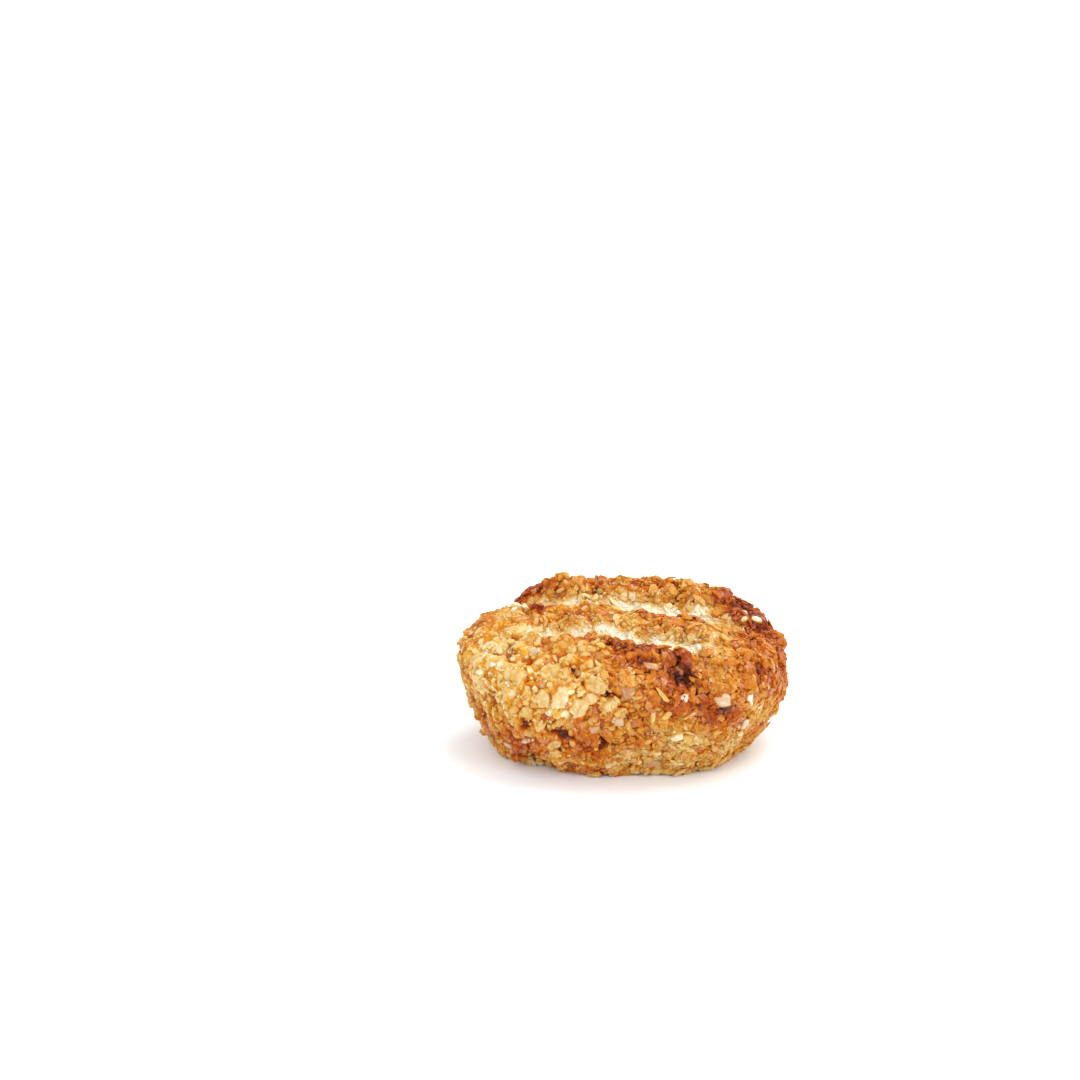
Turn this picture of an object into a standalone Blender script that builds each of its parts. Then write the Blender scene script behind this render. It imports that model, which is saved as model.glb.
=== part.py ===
"""A fork-pressed coconut macaroon, as one solid.

It is a small hand-shaped patty of coconut bound with egg white: an uneven oval in plan that leans forward over a
flat foot, highest towards its back, with furrows pressed across the top by the tines of a fork. The surface is
crumbly, so the solid carries the lumps of the dough and the larger crags of coconut as relief.

Metres, +Z up. The origin is on the table under the middle of the patty, +X runs along its long side, and -Y is
its front, which leans.
"""

import math

import bmesh
import bpy
from mathutils import Vector, noise

MM = 0.001

# The patty as a whole
LENGTH = 43.8 * MM
DEPTH = 31.8 * MM
FRONT_TOP = 19.5 * MM  # height of the top over its front half, before the fork
BACK_RISE = 2.6 * MM  # how much higher the top is towards the back
RISE_FROM, RISE_TO = -2 * MM, 10 * MM  # where the top starts to rise, and where it is fully up, along Y
WAIST = 13.4 * MM  # height of the widest level at the back and the sides
FRONT_SAG = 3.5 * MM  # how much lower the widest level is at the front
BELOW_TABLE = 7 * MM  # how far under the table the round form would close, if the table hadn't flattened it
OUTLINE_POWER = 2.3  # 2 makes the plan an ellipse, more makes it squarer
PROFILE_POWER = 2.08  # 2 makes the profile an ellipse, more makes it squarer
FOOT_BACK = 2.5 * MM  # how far the foot stands behind the waist
# Unevenness of the plan outline: waves round it, their height as a share of the radius, and the angle of a crest
OUTLINE_WAVES = ((2, 0.012, 98), (3, 0.017, 216), (5, 0.008, 20))

# The furrows. Each has its distance across from the middle, its depth, and where it starts and ends along itself.
FORK_TURN = math.radians(-14)
FURROWS = (
    (-4.9 * MM, 1.9 * MM, -15 * MM, 15 * MM),
    (3.4 * MM, 2.2 * MM, -30 * MM, 17 * MM),
    (11.7 * MM, 2.0 * MM, -17 * MM, 15 * MM),
)
TINE_HALF = 0.7 * MM  # half the width of a furrow's floor
FURROW_HALF = 3.0 * MM  # from a furrow's middle to the top of its bank
FURROW_FADE = 7 * MM  # the length over which an end runs out
RIDGE_LIFT = 0.4 * MM  # dough that the tines pushed up beside the furrows
RIDGE_HALF = 1.4 * MM  # half the width of that dough
FORK_REACH = 5 * MM  # height above the waist from which the fork presses fully

# Swellings of the patty, and dents, whose height is negative: centre, radius, height
SWELLINGS = (
    ((-20.5 * MM, 0 * MM, 15.5 * MM), 4.5 * MM, 1.1 * MM),  # the left shoulder
    ((-16.5 * MM, -3 * MM, 0.5 * MM), 3.5 * MM, 0.9 * MM),  # a lobe at the left end of the foot
    ((-12 * MM, 8 * MM, 20 * MM), 3.5 * MM, 1.0 * MM),  # the left end of the back ridge
    ((-4 * MM, 9 * MM, 21 * MM), 4 * MM, -0.4 * MM),  # a low stretch of the back ridge
    ((3.5 * MM, 8.5 * MM, 21 * MM), 3.5 * MM, 0.7 * MM),  # the highest stretch of the back ridge
    ((7.8 * MM, -13 * MM, 15 * MM), 2.8 * MM, -1.3 * MM),  # a hollow high on the front
    ((-11 * MM, -9 * MM, 1 * MM), 2 * MM, -1.6 * MM),  # a gap under the front, beside the lobe
)

# Relief of the dough and of the coconut in it: size of a feature, height
DOUGH_LUMPS = ((11 * MM, 0.80 * MM), (5 * MM, 0.45 * MM))
CRAG_SIZE = 2.4 * MM
CRAG_HEIGHT = 1.2 * MM
USUAL_CRAG = 0.75  # the usual value of crag(), which leaves the patty's size as it is
FOOT_FADE = 2 * MM  # the relief dies out over this depth below the table

FACES_ALONG = (42, 30, 21)  # along X, Y and Z, in proportion to the patty, so that its faces are of one size
EVENING_PASSES = 3  # of smoothing, which makes the faces more alike before the relief goes on

CRUST_COLOR = (0.62, 0.27, 0.07, 1)
CRUST_ROUGHNESS = 0.7


def clear_scene():
    for obj in list(bpy.data.objects):
        bpy.data.objects.remove(obj)


def smoothstep(low, high, value):
    share = min(1.0, max(0.0, (value - low) / (high - low)))
    return share * share * (3 - 2 * share)


def even_ball():
    """A unit ball made from a box cut into a grid and blown round by equal angles."""
    ball = bmesh.new()
    bmesh.ops.create_cube(ball, size=2)
    for axis, faces in enumerate(FACES_ALONG):
        parallel = [edge for edge in ball.edges if abs((edge.verts[0].co - edge.verts[1].co)[axis]) > 1]
        bmesh.ops.subdivide_edges(ball, edges=parallel, cuts=faces - 1, use_grid_fill=True)
    for vert in ball.verts:
        vert.co = Vector([math.tan(side * math.pi / 4) for side in vert.co]).normalized()
    return ball


def outline_radius(turn):
    """From the middle of the plan to its edge at this angle."""
    across = (abs(math.cos(turn)) / (LENGTH / 2)) ** OUTLINE_POWER
    along = (abs(math.sin(turn)) / (DEPTH / 2)) ** OUTLINE_POWER
    waves = sum(height * math.cos(count * (turn - math.radians(crest))) for count, height, crest in OUTLINE_WAVES)
    return (across + along) ** (-1 / OUTLINE_POWER) * (1 + waves)


def shape_patty(point):
    """Moves a point of the unit ball to the plain patty, a round form that leans forward over its foot."""
    turn = math.atan2(point.y, point.x)
    reach = math.hypot(point.x, point.y)
    waist = WAIST - FRONT_SAG * max(0.0, -math.sin(turn)) ** 1.5
    rise = FRONT_TOP - waist if point.z > 0 else waist + BELOW_TABLE
    swell = (reach**PROFILE_POWER + abs(point.z) ** PROFILE_POWER) ** (-1 / PROFILE_POWER)
    radius = outline_radius(turn) * reach * swell
    place = Vector((radius * math.cos(turn), radius * math.sin(turn), waist + rise * point.z * swell))
    place.y += FOOT_BACK * max(0.0, 1 - place.z / WAIST)
    place.z += BACK_RISE * smoothstep(RISE_FROM, RISE_TO, place.y) * smoothstep(WAIST, FRONT_TOP, place.z)
    return place


def furrow_drop(point):
    """How far the fork lowers the top at this place. It is negative where dough was pushed up."""
    along = point.x * math.cos(FORK_TURN) + point.y * math.sin(FORK_TURN)
    across = point.y * math.cos(FORK_TURN) - point.x * math.sin(FORK_TURN)
    drop = 0.0
    for middle, depth, start, end in FURROWS:
        aside = abs(across - middle)
        press = smoothstep(start, start + FURROW_FADE, along) * smoothstep(-end, FURROW_FADE - end, -along)
        drop += press * depth * (1 - smoothstep(TINE_HALF, FURROW_HALF, aside))
        drop -= press * RIDGE_LIFT * math.exp(-(((aside - FURROW_HALF) / RIDGE_HALF) ** 2))
    return drop * smoothstep(WAIST, WAIST + FORK_REACH, point.z)


def crag(point):
    """Height of the coarse coconut relief: round pieces that meet in creases, up to 1."""
    from_middle = noise.voronoi(point / CRAG_SIZE)[0][0]
    return 1 - from_middle**2


def relief(point):
    """How far the surface stands out from the plain patty at this place."""
    height = sum(tall * noise.noise(point / size) for size, tall in DOUGH_LUMPS)
    height += CRAG_HEIGHT * (crag(point) - USUAL_CRAG)
    for centre, radius, tall in SWELLINGS:
        height += tall * math.exp(-(((point - Vector(centre)).length / radius) ** 2))
    return height


def stand_on_origin(solid):
    """Cuts off what is under the table, and centres the rest over the origin."""
    for vert in solid.verts:
        vert.co.z = max(vert.co.z, 0.0)
    for axis in (0, 1):
        places = [vert.co[axis] for vert in solid.verts]
        middle = (min(places) + max(places)) / 2
        for vert in solid.verts:
            vert.co[axis] -= middle


def make_macaroon():
    solid = even_ball()
    for vert in solid.verts:
        vert.co = shape_patty(vert.co)
        vert.co.z -= furrow_drop(vert.co)
    for _ in range(EVENING_PASSES):
        bmesh.ops.smooth_vert(
            solid, verts=solid.verts[:], factor=0.5, use_axis_x=True, use_axis_y=True, use_axis_z=True
        )
    bmesh.ops.recalc_face_normals(solid, faces=solid.faces[:])
    solid.normal_update()
    for vert, outward in [(vert, vert.normal.copy()) for vert in solid.verts]:
        vert.co += outward * relief(vert.co) * smoothstep(-FOOT_FADE, 0, vert.co.z)
    stand_on_origin(solid)
    bmesh.ops.triangulate(solid, faces=solid.faces[:], quad_method="SHORT_EDGE")
    mesh = bpy.data.meshes.new("macaroon")
    solid.to_mesh(mesh)
    solid.free()
    mesh.shade_smooth()
    return bpy.data.objects.new("macaroon", mesh)


def crust_material():
    """Baked coconut: a matt golden brown."""
    material = bpy.data.materials.new("toasted_coconut")
    material.use_nodes = True
    shader = material.node_tree.nodes["Principled BSDF"]
    shader.inputs["Base Color"].default_value = CRUST_COLOR
    shader.inputs["Roughness"].default_value = CRUST_ROUGHNESS
    shader.inputs["Metallic"].default_value = 0.0
    return material


def main():
    clear_scene()
    collection = bpy.data.collections.new("Coconut macaroon")
    bpy.context.scene.collection.children.link(collection)
    macaroon = make_macaroon()
    macaroon.data.materials.append(crust_material())
    collection.objects.link(macaroon)


if __name__ == "__main__":
    main()
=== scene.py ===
"""Gives a fork-pressed coconut macaroon its baked surface, and stands it in a pale studio.

Metres, +Z up. The origin is on the table under the middle of the macaroon, +X runs along its long side, and
-Y is its front, which leans towards the camera.
"""

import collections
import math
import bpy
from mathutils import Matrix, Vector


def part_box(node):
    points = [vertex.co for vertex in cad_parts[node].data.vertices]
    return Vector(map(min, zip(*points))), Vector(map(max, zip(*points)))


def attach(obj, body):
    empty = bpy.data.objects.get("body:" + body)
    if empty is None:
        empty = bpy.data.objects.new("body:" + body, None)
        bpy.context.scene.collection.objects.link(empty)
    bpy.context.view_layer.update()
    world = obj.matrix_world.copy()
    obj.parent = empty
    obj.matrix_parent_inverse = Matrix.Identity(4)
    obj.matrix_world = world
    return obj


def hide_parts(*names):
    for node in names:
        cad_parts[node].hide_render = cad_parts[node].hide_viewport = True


bl_info = {
    "name": "Coconut Macaroon",
    "version": (1, 0, 0),
    "blender": (4, 5, 0),
    "location": "3D View > Sidebar > Macaroon",
    "description": "Builds the crumb, the coconut and the glaze of a baked macaroon round its solid",
    "category": "Add Mesh",
}

import bmesh
import bpy
import numpy as np
from bpy.props import FloatProperty, FloatVectorProperty, IntProperty, PointerProperty
from bpy.types import Operator, Panel, PropertyGroup
from mathutils import Matrix, Vector, noise

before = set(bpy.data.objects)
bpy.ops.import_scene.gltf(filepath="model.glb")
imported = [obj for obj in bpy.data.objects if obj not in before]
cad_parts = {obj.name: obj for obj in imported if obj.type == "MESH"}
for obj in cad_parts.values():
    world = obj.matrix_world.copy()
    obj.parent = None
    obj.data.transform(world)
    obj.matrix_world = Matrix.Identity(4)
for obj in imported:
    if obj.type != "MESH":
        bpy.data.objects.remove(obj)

MM = 0.001
NODE = "macaroon"
BODY = "root"
CRUMB = "macaroon_crumb"
MERGE = 0.001 * MM  # corners of the solid's loose triangles that are this close are one corner
FINER_PASSES = 2  # each cuts every triangle of the crumb in four
OUTWARD_PASSES = 8  # of blurring, so that the way out of the surface ignores its small relief
FOOT_FADE = (-0.2 * MM, 0.8 * MM)  # heights over which the crumb's relief fades out, so that the foot is flat

# The furrows of the fork, as the solid has them. Each has its distance across from the middle, and where it
# starts and ends along itself.
FORK_TURN = math.radians(-14)
FURROWS = (
    (-5.6 * MM, -14.3 * MM, 15.7 * MM),
    (2.7 * MM, -29.3 * MM, 17.7 * MM),
    (11.0 * MM, -16.3 * MM, 15.7 * MM),
)
FURROW_FLOOR = 0.7 * MM  # half the width of the pale floor
FURROW_BANK = 1.9 * MM  # from a furrow's middle to where its far bank is as brown as the rest
NEAR_BANK = 0.70  # width of the pale part on the near side, as a share of that on the far side
FURROW_CREST = 3.0 * MM  # from a furrow's middle to the top of its bank
CREST_HALF = 1.0 * MM  # half the width of the browned top of a bank
FURROW_FADE = 7 * MM  # the length over which an end runs out
FURROW_TOP = (12.5 * MM, 17 * MM)  # the heights at which the fork begins to press, and where it does fully
FURROW_WANDER = ((0.5 * MM, 2.4 * MM, 5.9), (0.3 * MM, 0.9 * MM, 7.7))  # of its edges: how far, size, pattern
FURROW_SMOOTHS = 0.8  # share of the crumb's relief that the tines pressed flat

# How browned a place is runs from raw at 0 to burnt at 1. It is the bake, and to that come these.
BLOTCHES = ((0.10, 6.0 * MM, 1.3), (0.06, 2.6 * MM, 4.1))  # how much, size, pattern
CREST_BROWNING = 0.12  # on the top of a furrow's bank
FURROW_PALING = 0.42  # on a furrow's floor
NUGGET_VARIES = 0.08  # from one nugget of dough to the next
FLAKE_VARIES = 0.08  # from one flake in it to the next
# Darker in the gaps between nuggets and between flakes, in the slits and in the groove round a large nugget:
# painted shade there, and the browning of the syrup that gathers in them
NUGGET_GAP_SHADE_AND_BROWNING = 0.12
FLAKE_GAP_SHADE_AND_BROWNING = 0.12
SLIT_SHADE_AND_BROWNING = 0.30
RIM_SHADE_AND_BROWNING = 0.14  # in the groove round a large nugget
# Painted shade in a pit
PIT_PAINTED_SHADE = 0.42  # for each millimetre of a pit's depth

# Where the oven browned the crust more, or less where the last number is negative, and in the hollow under
# the brow also painted shade: centre and radius in millimetres, how much
PATCHES = (
    ((1.0, -10.0, 18.0), 4.5, 0.20),  # the brow, over the front
    ((-6.5, -9.2, 17.8), 2.6, 0.08),  # its left part
    ((8.5, -10.6, 17.6), 3.5, 0.09),  # its right part
    # browning, and painted shade in the hollow
    ((7.4, -13.0, 15.2), 2.2, 0.27),  # the hollow under the brow
    ((7.8, -12.8, 15.0), 1.0, 0.36),  # the burnt spot in it
    ((4.8, -15.4, 12.8), 3.2, 0.24),  # left of the hollow
    ((11.0, -14.2, 10.6), 2.8, 0.32),  # the brown band that runs down from the hollow
    ((14.0, -13.0, 9.0), 2.4, 0.32),  # its lower end
    ((14.0, -13.6, 12.5), 2.4, 0.12),  # above that band
    ((17.6, -10.8, 14.9), 0.9, 0.40),  # a dark grain
    ((-13.4, -11.9, 4.4), 3.8, 0.28),  # the lobe at the left end of the foot
    ((-5.0, -14.7, 6.0), 2.8, 0.26),  # beside the burnt fleck
    ((-7.8, -14.9, 7.4), 0.6, 0.30),  # under that fleck
    ((0.0, -15.6, 8.4), 5.0, 0.11),  # the middle of the front
    ((1.0, -13.5, 3.5), 6.0, -0.03),  # the foot of the front
    ((11.5, -12.6, 3.6), 5.0, -0.06),  # the right of that foot
    ((-11.8, 7.3, 18.8), 2.8, 0.36),  # the left end of the back ridge
    ((16.0, 3.4, 18.6), 5.5, 0.32),  # its right end
    ((-4.5, 5.0, 19.4), 5.0, -0.14),  # its middle
    ((-1.0, 8.5, 21.0), 5.0, 0.04),  # its crest
    ((0.5, 2.6, 18.6), 4.5, -0.08),  # the bank behind the middle furrow
    ((-1.5, -3.5, 19.5), 4.5, -0.11),  # the bank between the near furrow and the middle one
    ((-9.0, -1.0, 19.0), 3.0, -0.12),  # its left end
    ((9.5, -7.5, 18.0), 4.0, -0.13),  # where the near furrow runs out
    ((19.8, 1.5, 16.2), 3.4, 0.20),  # the right shoulder
    ((17.0, -2.2, 17.2), 2.0, -0.14),  # a pale place in it
    ((13.0, -12.0, 15.0), 3.0, 0.12),  # right of the hollow
    ((19.5, -6.0, 13.5), 6.0, 0.26),  # the right end of the macaroon
    ((19.2, -7.8, 9.0), 2.4, -0.07),  # low on it
    ((-6.6, -15.4, 12.6), 3.4, -0.08),  # the palest part of the front
    ((-11.5, -14.0, 9.5), 3.2, -0.14),  # below it on the left
    ((-9.5, -13.5, 12.0), 8.0, -0.14),  # all of the front's left half
    ((-17.4, -9.0, 14.9), 6.0, -0.14),  # the left end, which is paler and finer
    ((-18.8, -3.4, 16.2), 5.5, -0.12),  # its shoulder
    ((-16.2, -3.4, 17.0), 3.0, -0.10),  # and the top beside that
    ((-11.2, 1.2, 19.3), 1.1, 0.30),  # the burnt place between two furrows
    ((-13.9, 3.1, 18.7), 2.2, -0.26),  # where the middle furrow runs out on the left
    ((-17.0, -8.0, 6.0), 3.5, -0.08),  # low on the left end
    ((5.0, -15.2, 7.0), 2.0, -0.07),  # low on the right half of the front
    ((17.0, -12.2, 13.8), 2.5, 0.08),  # round the dark grain
    ((11.0, 1.0, 18.4), 2.6, -0.12),  # beside the right end of the middle furrow
    ((14.2, 3.2, 20.0), 2.0, 0.10),  # behind it
    ((10.5, 3.7, 20.5), 4.0, -0.04),  # the golden back of the top
)

# Pits where the crumb opened: centre, radius and depth in millimetres. Each is darkened with painted shade,
# the more the deeper it is.
PITS = (
    ((7.9, -12.8, 14.9), 1.0, 0.7),
    ((-6.6, -12.3, 16.1), 0.7, 0.9),
    ((-6.3, -13.1, 15.4), 0.6, 0.9),
    ((-12.5, -9.6, 16.1), 0.6, 0.8),
    ((-10.3, -14.6, 9.5), 0.6, 0.8),
    ((-5.6, -14.2, 14.9), 0.5, 0.8),
    ((-2.1, -15.3, 13.3), 0.5, 0.8),
    ((-7.4, -14.9, 7.0), 0.7, 0.8),
    ((3.6, -15.4, 11.6), 0.5, 0.7),
    ((-15.0, -11.6, 8.6), 0.5, 0.7),
    # this one is there mostly for its painted shade, in the gap under the front beside the lobe
    ((-11.0, -10.5, 1.0), 1.4, 0.6),
)
PIT_BARE = 1.5  # how much less coconut lies in a pit, for each millimetre of its depth

# Slits that open here and there between two nuggets
SLIT_SPACING = 3.2 * MM  # the size of the places that have slits, and of those that have none
SLIT_PATTERN = 2.3
SLIT_FROM, SLIT_TO = 0.24, 0.46  # the noise at which slits begin, and where they are fully open

# The two surfaces of cells that make the crumb, one of nuggets and in them one of flakes
CELL_TILT = 1.6  # how steeply the facets of the cells are tilted
CELL_STEP = 0.6  # how much one cell is higher or lower than the next
CELL_SEAM = 0.28  # how far a seam reaches into a cell, in cell sizes
CELL_BENDS = 1.7  # bends of a seam to a cell size
CELL_KEY = 7.3  # spreads the cells' middles out, so that each has random numbers of its own
NUGGET_BEND, NUGGET_PATTERN = 0.35, 3.1
FLAKE_BEND, FLAKE_PATTERN = 0.30, 8.7
NUGGET_STAND, NUGGET_MEAN = 0.8, 0.6  # height of a cell over its seams, and the mean, as shares of the height
FLAKE_STAND, FLAKE_MEAN = 0.6, 0.5

# Bare nuggets of dough that show whole: centre, length and width in millimetres, turn in degrees (0 is
# level), how browned
LARGE_NUGGETS = (
    ((-8.2, -15.3, 12.9), (3.2, 2.4), 75, 0.10),  # the pale ones on the left of the front
    ((-5.7, -15.5, 11.5), (3.0, 2.2), 60, 0.15),
    ((-4.3, -15.5, 12.9), (2.2, 1.7), 100, 0.20),
    ((-10.6, -14.5, 12.3), (2.6, 1.8), 115, 0.20),
    ((-3.7, -14.7, 14.8), (3.0, 2.8), 0, 0.26),
    ((-2.2, -15.8, 12.2), (2.8, 2.2), 40, 0.26),
    ((-9.6, -12.0, 15.5), (2.8, 2.2), 20, 0.29),  # golden ones round them
    ((-13.4, -11.3, 14.0), (2.6, 2.0), 100, 0.28),
    ((-12.6, -13.3, 10.0), (2.4, 1.9), 60, 0.28),
    ((-7.2, -13.0, 15.6), (2.4, 1.8), 90, 0.30),
    ((-0.3, -15.8, 10.6), (2.2, 1.6), 80, 0.34),
    ((-9.2, -14.3, 5.4), (2.2, 1.9), 40, 0.30),
)
NUGGET_RISE = 0.18  # millimetres that these stand out
NUGGET_RIM = 0.14  # millimetres that the groove round each is deep
NUGGET_SMOOTHS = 0.5  # share of the crumb's coarse relief that is missing on them
NUGGET_DOME = 0.45  # how much lower their edge is than their middle, as a share
NUGGET_EDGE = (0.82, 1.02)  # where their edge begins and ends, as a share of the way out from the middle
NUGGET_TORN = 0.30  # how ragged that edge is, as such a share
NUGGET_TEARS = (0.9 * MM, 9.4)  # size and pattern of the tears in it
RIM_MIDDLE, RIM_HALF = 1.12, 0.16  # where the groove is and half its width, as such shares

# Flakes that stand out: centre, length and width, turn, how browned
LARGE_FLAKES = (
    ((4.9, -15.3, 13.3), (3.0, 0.8), -50, 0.30),  # two narrow ones on the front
    ((5.7, -15.9, 10.8), (2.6, 1.0), 30, 0.30),
    ((7.0, -14.4, 7.2), (2.6, 1.4), 35, 0.10),  # a white one
    ((17.6, 0.7, 17.6), (2.0, 1.0), -35, 0.04),  # white ones at the right end
    ((16.4, 1.5, 18.2), (1.5, 0.8), 15, 0.10),
    ((16.0, -0.4, 17.8), (1.2, 0.8), 20, 0.08),
    ((-13.9, 3.0, 18.8), (1.9, 0.9), 60, 0.04),  # and at the left end
    ((-12.9, 2.2, 18.9), (1.4, 0.8), -20, 0.08),
    ((-14.4, 2.0, 18.5), (1.2, 0.7), 10, 0.0),
    ((-7.8, -14.9, 7.5), (1.3, 1.0), 80, 1.0),  # the burnt fleck
    ((-11.8, 1.3, 19.3), (1.3, 0.9), 20, 0.86),  # burnt ones between two furrows
    ((-10.8, 1.2, 19.3), (1.1, 0.7), -30, 0.78),
    ((17.5, -11.0, 14.9), (1.1, 0.9), 0, 0.90),  # the dark grain at the right end
)
LARGE_FLAKE_HEIGHT = 0.9 * MM
LARGE_FLAKE_SUNK = 0.52  # share of that height that is below the surface

# Glassy chunks that stand out, each as tall as it is wide: centre, length and width, turn, how browned
LARGE_CHUNKS = (
    ((13.0, -14.6, 11.8), (2.5, 2.2), 10, 0.12),  # the largest one, in the brown band
    ((16.5, -12.4, 11.7), (2.0, 1.0), 85, 0.0),
    ((7.7, -14.6, 13.0), (1.5, 1.1), 70, 0.05),
    ((0.7, -15.2, 13.8), (2.1, 1.7), 10, 0.45),
    ((3.4, -12.4, 16.5), (2.3, 1.4), 0, 0.30),
    ((-0.8, -15.8, 9.3), (1.6, 1.3), 0, 0.20),
    ((-3.7, -15.1, 8.2), (1.6, 1.3), 20, 0.35),
    ((-12.8, -12.4, 5.0), (1.8, 1.0), 30, 0.10),
    ((-15.5, -9.6, 3.6), (1.3, 0.9), 0, 0.20),
    ((4.2, -12.6, 2.2), (2.2, 1.3), 0, 0.38),
    ((16.0, -11.1, 7.4), (1.8, 0.9), 80, 0.05),
    ((-11.5, -8.6, 16.9), (1.2, 1.0), 0, 0.15),
)
LARGE_CHUNK_SUNK = 0.78
CLEAR = 0.2  # millimetres round a large flake or chunk, and above the table, that stay free of small bits

# How the small bits of one kind lie: the least distance between two, the ranges of their width and height as
# shares of a length, the share of the height that is below the surface, how much they lean in radians, how
# much their browning varies, and how many there are on the left half as a share of those on the right
Kind = collections.namedtuple("Kind", "apart wide tall sunk lean vary left")
GRAIN = Kind(apart=0.30 * MM, wide=(0.45, 0.9), tall=(0.5, 1.0), sunk=0.70, lean=0.35, vary=0.06, left=0.22)
FLAKE = Kind(apart=0.7 * MM, wide=(0.5, 0.9), tall=(0.28, 0.42), sunk=0.72, lean=0.12, vary=0.07, left=0.40)
SHRED = Kind(apart=0.7 * MM, wide=(0.20, 0.34), tall=(0.14, 0.22), sunk=0.70, lean=0.08, vary=0.07, left=0.08)
CHUNK = Kind(apart=3.0 * MM, wide=(0.6, 1.0), tall=(0.6, 0.9), sunk=0.78, lean=0.3, vary=0.0, left=1.0)
LENGTHS = (0.45, 1.7)  # range of a bit's length, as a share of the usual one
LEFT_LENGTH = 0.75  # size of the bits on the left half, as a share of those on the right
COARSER = (-8 * MM, 12 * MM)  # along X, between which the coconut gets coarser
IN_FURROW = (0.05, 0.5)  # how far pressed the crumb is where larger bits get fewer, and where they end
GRAINS_ON_BARE = 0.4  # share of the grains that also lie where the dough is bare
GRAINS_IN_FURROW = 0.5  # and in the furrows
UNDERSIDE = -0.8  # places that face down more steeply than this stay free of coconut
DRAWS = 8  # vertices drawn for each bit that is wanted, because many are refused
STRAIGHT_UP = 0.01  # the level share of a way out under which it counts as straight up

# The shapes of the coconut, each about 1 long, wide and tall until it gets its size. UPPER is the height up
# to which a shape is as brown as the crumb, painted shade of its crevices included, and the one from which it
# is as brown as its own face.
SHAPES = 12  # different ones of each kind
FLAKE_SIDES = 7  # corners of a flake's outline
FLAKE_TORN = (0.72, 1.15)  # range of how far out they reach, as a share
FLAKE_RADII = (0.5, 0.40)  # of its lower face and its upper one
FLAKE_THICK = 0.8
FLAKE_UNEVEN = 0.10  # how far a corner lies too high or too low, at most
FLAKE_CROWN = 0.18  # how far the middle of its face stands up, at most
FLAKE_UPPER = (-0.3, 0.5)
SHRED_CUTS = 3  # cuts across a shred, where it can bend
SHRED_BOW, SHRED_LIFT = 3.0, 2.0  # most it bends sideways and down, times the square of the way along
SHRED_BEND = 0.08  # the mean of that square, which is taken off to keep it over its place
SHRED_TWIST = 1.2  # radians from end to end, at most
SHRED_TAPER = 2.2  # how much narrower it gets towards its ends, times that square
SHRED_RAGGED = 0.12  # how much wider or narrower a corner makes it, at most
SHRED_UPPER = (-0.4, 0.3)
BLOCK = 0.9  # side of the cube that a grain or a chunk is made from
GRAIN_UNEVEN = 0.24  # how far a corner is moved, at most
GRAIN_NARROWER = 0.25  # how much narrower it is above, as a share
GRAIN_UPPER = (-0.3, 0.4)
CHUNK_UNEVEN = 0.20
CHUNK_BEVEL = 0.22
CHUNK_UPPER = (-0.5, 0.5)

# Softboxes round the table: name, place and width in metres, power in watts
SOFTBOXES = (
    ("Key", (0.35, 0.20, 0.90), 0.8, 5.5),
    ("Fill", (-0.55, -0.85, 0.75), 0.5, 2.9),
    ("Right", (0.70, -0.60, 0.42), 0.5, 2.7),
)
SENSOR = 36 * MM
PHOTO_SIDE = 1080  # pixels of the photograph's frame, both ways
LENS_PIXELS = 3385  # the lens's focal length in those pixels
MACAROON_PIXEL = (621.6, 668.7)  # where the middle of the macaroon's box is in the frame


def linear(hex_colour):
    """An sRGB hex colour as the linear colour that Blender works in."""
    shares = [int(hex_colour[place : place + 2], 16) / 255 for place in (1, 3, 5)]
    return tuple(s / 12.92 if s <= 0.04045 else ((s + 0.055) / 1.055) ** 2.4 for s in shares) + (1.0,)


def smoothstep(low, high, value):
    share = np.clip((value - low) / (high - low), 0.0, 1.0)
    return share * share * (3 - 2 * share)


def mix(start, end, share):
    return start + (end - start) * share


def add_node(tree, kind, inputs=None, **settings):
    """Adds a node. Each input is a value, or another node's output, which is then linked."""
    node = tree.nodes.new(kind)
    for name, value in settings.items():
        setattr(node, name, value)
    for key, value in (inputs or {}).items():
        if isinstance(value, bpy.types.NodeSocket):
            tree.links.new(value, node.inputs[key])
        else:
            node.inputs[key].default_value = value
    return node


def length_setting(name, description, default, least):
    return FloatProperty(name=name, description=description, default=default, min=least, unit="LENGTH")


def colour_setting(name, description, hex_colour):
    return FloatVectorProperty(
        name=name, description=description, subtype="COLOR", size=4, default=linear(hex_colour)
    )


class CrumbSettings(PropertyGroup):
    nugget_size: length_setting(
        "Nugget size", "Width of the clumps that the dough broke into", 2.9 * MM, 0.5 * MM
    )
    nugget_height: length_setting("Nugget height", "How far they stand out", 0.50 * MM, 0.0)
    flake_size: length_setting(
        "Flake size", "Width of the flakes that are bound in them", 1.25 * MM, 0.3 * MM
    )
    flake_height: length_setting("Flake height", "How far those stand out", 0.30 * MM, 0.0)
    slit_depth: length_setting(
        "Slit depth", "Depth of the gaps that open here and there between two nuggets", 0.9 * MM, 0.0
    )
    furrow_depth: length_setting(
        "Furrow depth",
        "How much deeper the smooth furrow floors lie than the crumb beside them",
        0.45 * MM,
        0.0,
    )
    inset: length_setting(
        "Inset",
        "How far the crumb lies under the solid's surface, to leave room for the coconut in it",
        0.18 * MM,
        0.0,
    )
    # Painted shade in the crumb's crevices, together with the browning of the syrup in them
    crevice_shade_and_browning: FloatProperty(
        name="Crevice shade and browning",
        description="How much browner the crumb is than the faces of the coconut that it holds",
        default=0.08,
        min=0.0,
        max=1.0,
        subtype="FACTOR",
    )
    bake: FloatProperty(
        name="Bake",
        description="How brown the whole crust is, from raw at 0 to burnt at 1",
        default=0.38,
        min=0.0,
        max=1.0,
        subtype="FACTOR",
    )
    seed: IntProperty(
        name="Seed", description="Changes how the seams between the nuggets wander", default=2, min=1
    )


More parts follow.
